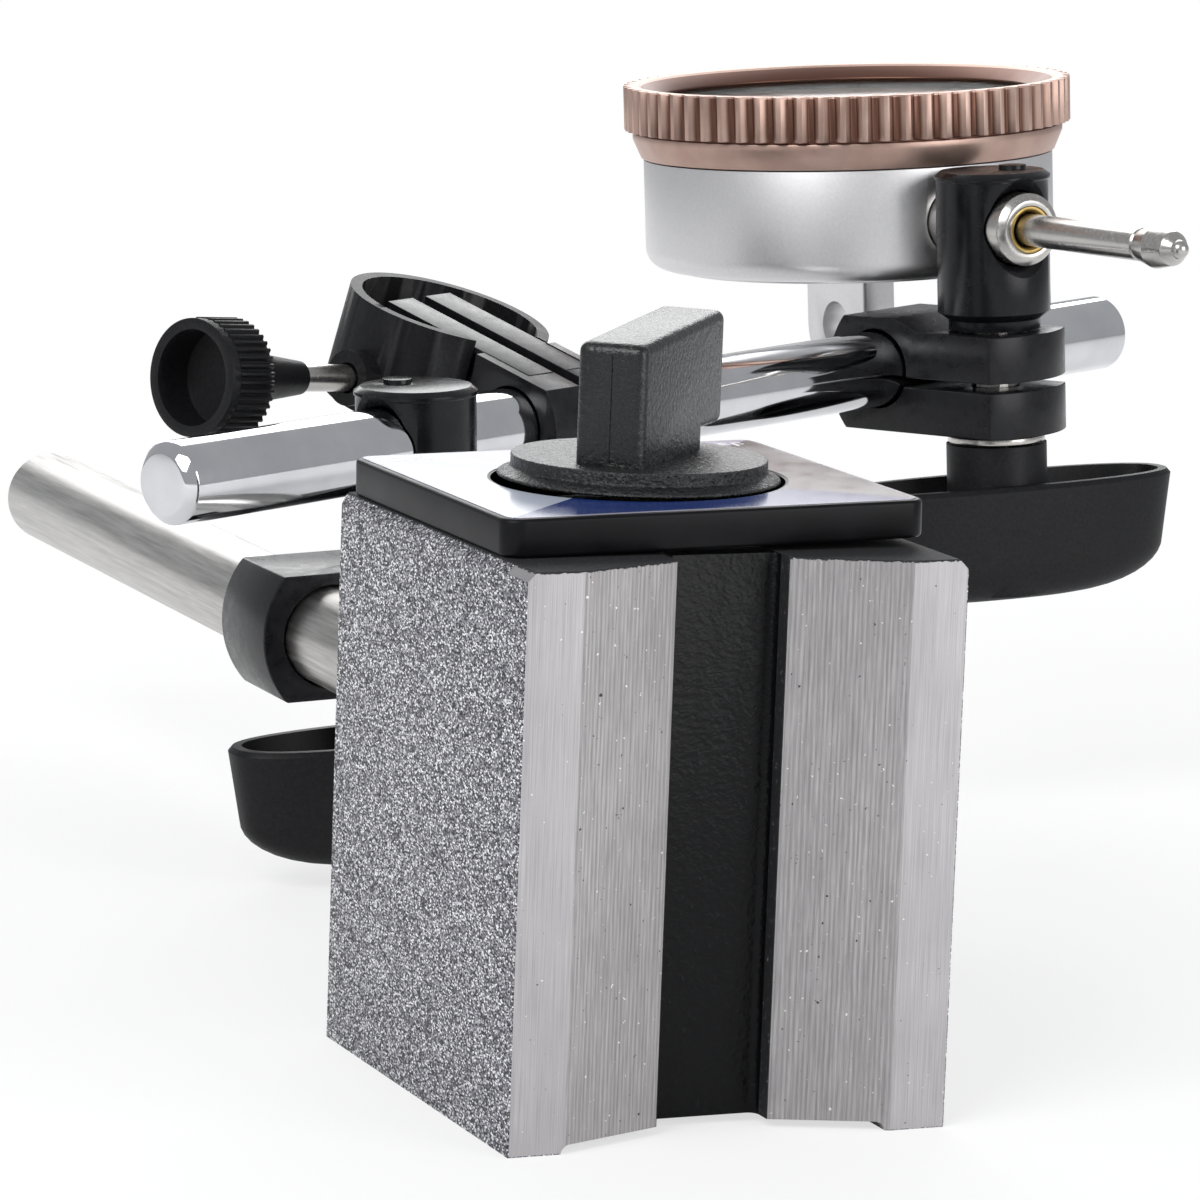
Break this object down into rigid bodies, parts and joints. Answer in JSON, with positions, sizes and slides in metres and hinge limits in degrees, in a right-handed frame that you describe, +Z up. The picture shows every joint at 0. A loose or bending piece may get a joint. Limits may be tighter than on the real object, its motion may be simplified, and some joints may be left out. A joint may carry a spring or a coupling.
{
  "type": "dial indicator with magnetic base",
  "caption": "Dial indicator on a jointed rod arm, carried by a switchable magnet block with a ground V face, standing on its end.",
  "frame": {"origin": "centre of the magnet block's lower end face, which the part stands on", "axes": "+Z up out of the switch knob, -Y out of the ground V face, +Y along the main post away from the block, +X towards the indicator"},
  "size_m": [0.1621, 0.235, 0.0954],
  "materials": {
    "pole_steel": "ground steel working face, hammered silver-grey paint on the sides",
    "separator_paint": "non-magnetic metal spacer, painted black",
    "brass_parts": "plain turned brass",
    "plate_plastic": "black moulded plastic with a printed top",
    "magnet": "dull sintered ferrite",
    "plain_steel": "bright turned steel",
    "knob_plastic": "spark-textured black moulding",
    "post_steel": "satin drawn steel",
    "clamp_black": "satin blackened steel",
    "barrel_black": "glossy blackened steel",
    "wing_plastic": "smooth matt black moulding",
    "rod_chrome": "polished chrome plate",
    "case_silver": "satin silver",
    "bezel_bronze": "rose-bronze anodised, straight flutes",
    "crystal": "clear acrylic",
    "dial_white": "white enamel with printed graduations",
    "hand_black": "black"
  },
  "bodies": {
    "base": {"pole_right": "pole_steel", "pole_left": "pole_steel", "separator_front": "separator_paint", "separator_back": "separator_paint", "bore_cover_lower": "brass_parts", "bore_cover_upper": "brass_parts", "label_plate": "plate_plastic", "main_post": "post_steel"},
    "switch": {"magnet_rotor": "magnet", "rotor_shaft": "plain_steel", "switch_knob": "knob_plastic"},
    "post_clamp": {"post_clamp": "clamp_black", "lower_washer": "plain_steel"},
    "lower_swivel": {"lower_barrel": "barrel_black", "lower_stud": "plain_steel"},
    "lower_wing": {"lower_wing_knob": "wing_plastic", "lower_knob_insert": "brass_parts"},
    "rod": {"sub_post": "rod_chrome"},
    "adjuster": {"adjuster_bar": "clamp_black", "adjuster_drum": "wing_plastic", "drum_rivet": "plain_steel"},
    "thumb_screw": {"thumb_screw": "plain_steel", "thumb_knob": "knob_plastic"},
    "head_clamp": {"rod_clamp": "clamp_black", "upper_washer": "plain_steel"},
    "upper_swivel": {"upper_barrel": "barrel_black", "upper_stud": "plain_steel"},
    "upper_wing": {"upper_wing_knob": "wing_plastic", "upper_knob_insert": "brass_parts"},
    "indicator": {"indicator_case": "case_silver", "back_cover": "case_silver", "stem": "plain_steel", "dial_centre": "dial_white", "movement_bridge": "brass_parts"},
    "bezel": {"bezel": "bezel_bronze", "crystal": "crystal", "dial_ring": "dial_white"},
    "pointer": {"main_pointer": "hand_black", "centre_arbor": "plain_steel"},
    "small_hand": {"small_hand": "hand_black", "counter_arbor": "plain_steel", "drive_gear": "brass_parts"},
    "spindle": {"spindle": "plain_steel", "contact_point": "plain_steel"}
  },
  "joints": [
    {"name": "switch_turn", "type": "hinge", "parent": "base", "child": "switch", "pos_m": [0, 0.0027, 0.03], "axis": [0, 0, 1], "range_deg": [0, 90]},
    {"name": "clamp_on_post", "type": "slide", "parent": "base", "child": "post_clamp", "axis": [0, 1, 0], "range_m": [-0.045, 0.09]},
    {"name": "lower_swivel_turn", "type": "hinge", "parent": "post_clamp", "child": "lower_swivel", "pos_m": [0.01388, 0.101, 0.03254], "axis": [-0.0461, 0, 0.9989], "range_deg": [-30, 45]},
    {"name": "lower_wing_turn", "type": "hinge", "parent": "lower_swivel", "child": "lower_wing", "pos_m": [0.01388, 0.101, 0.03254], "axis": [-0.0461, 0, 0.9989], "range_deg": [-360, 0]},
    {"name": "rod_in_barrel", "type": "slide", "parent": "lower_swivel", "child": "rod", "axis": [0.9168, 0.3971, 0.0423], "range_m": [-0.008, 0.03]},
    {"name": "adjuster_on_rod", "type": "hinge", "parent": "rod", "child": "adjuster", "pos_m": [0.0129, 0.101, 0.05402], "axis": [0.9168, 0.3971, 0.0423], "range_deg": [-26, 60]},
    {"name": "thumb_screw_turn", "type": "hinge", "parent": "adjuster", "child": "thumb_screw", "pos_m": [0.02547, 0.12923, 0.0581], "axis": [0.9026, 0.4243, -0.0723], "range_deg": [0, 720]},
    {"name": "head_on_rod", "type": "hinge", "parent": "rod", "child": "head_clamp", "pos_m": [0.0129, 0.101, 0.05402], "axis": [0.9168, 0.3971, 0.0423], "range_deg": [-90, 90]},
    {"name": "upper_swivel_turn", "type": "hinge", "parent": "head_clamp", "child": "upper_swivel", "pos_m": [0.10318, 0.12476, 0.05859], "axis": [-0.0576, 0.0267, 0.998], "range_deg": [-25, 50]},
    {"name": "upper_wing_turn", "type": "hinge", "parent": "upper_swivel", "child": "upper_wing", "pos_m": [0.10318, 0.12476, 0.05859], "axis": [-0.0576, 0.0267, 0.998], "range_deg": [-360, 0]},
    {"name": "stem_in_barrel", "type": "hinge", "parent": "upper_swivel", "child": "indicator", "pos_m": [0.0979, 0.1606, 0.07637], "axis": [0.1175, -0.9925, 0.0334], "range_deg": [-6, 6]},
    {"name": "bezel_turn", "type": "hinge", "parent": "indicator", "child": "bezel", "pos_m": [0.09691, 0.16106, 0.09353], "axis": [-0.0576, 0.0267, 0.998], "continuous": true},
    {"name": "spindle_slide", "type": "slide", "parent": "indicator", "child": "spindle", "axis": [-0.1175, 0.9925, -0.0334], "range_m": [0, 0.01], "stiffness_N_per_m": 40, "springref_m": -0.02},
    {"name": "pointer_turn", "type": "hinge", "parent": "indicator", "child": "pointer", "pos_m": [0.09691, 0.16106, 0.09353], "axis": [-0.0576, 0.0267, 0.998], "range_deg": [-3605, 5]},
    {"name": "small_hand_turn", "type": "hinge", "parent": "indicator", "child": "small_hand", "pos_m": [0.09251, 0.17113, 0.09301], "axis": [-0.0576, 0.0267, 0.998], "range_deg": [-5, 365]}
  ],
  "couplings": [
    {"joint": "pointer_turn", "follows": "spindle_slide", "rad_per_m": -6283.2},
    {"joint": "small_hand_turn", "follows": "spindle_slide", "rad_per_m": 628.32}
  ]
}
